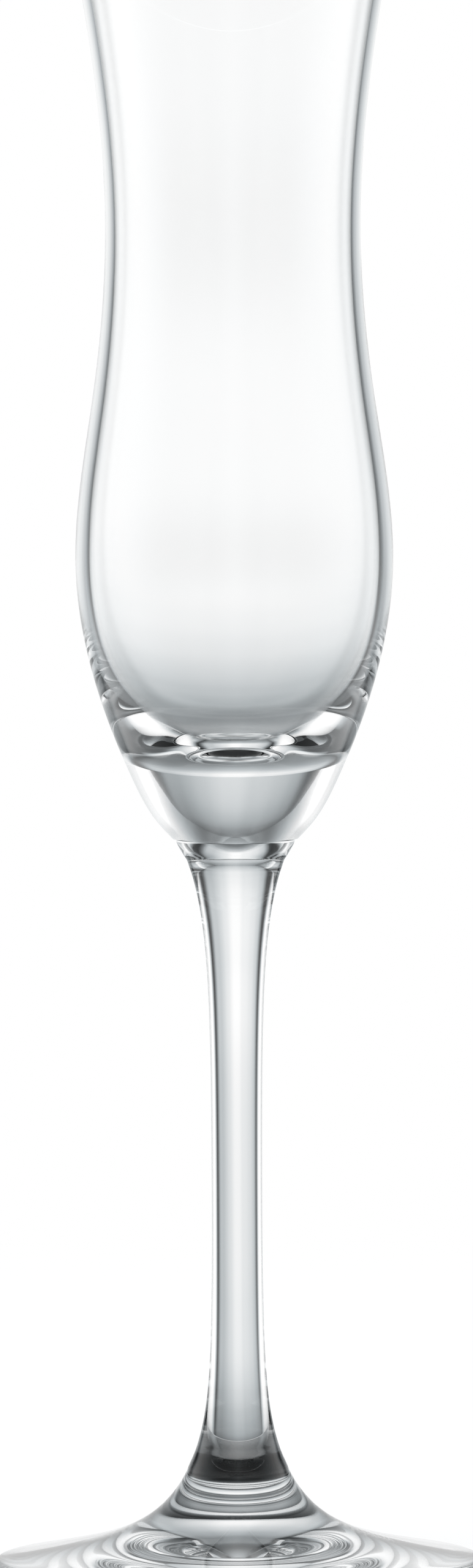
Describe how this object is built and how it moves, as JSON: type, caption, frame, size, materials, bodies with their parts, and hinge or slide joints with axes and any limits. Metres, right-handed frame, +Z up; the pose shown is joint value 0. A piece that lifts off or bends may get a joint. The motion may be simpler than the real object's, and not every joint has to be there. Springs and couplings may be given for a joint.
{
  "type": "spirits glass",
  "caption": "Tall clear spirits glass: hourglass bowl with a solid base and flared lip, slender drawn stem and wide flared foot, for serving short drinks.",
  "frame": {"origin": "middle of the resting plane under the foot", "axes": "+Z up along the axis that the glass is turned about, towards the lip"},
  "size_m": [0.065, 0.065, 0.2177],
  "materials": {
    "clear_glass": "clear, fire polished"
  },
  "bodies": {
    "root": {"bowl": "clear_glass", "stem": "clear_glass", "foot": "clear_glass"}
  },
  "joints": []
}
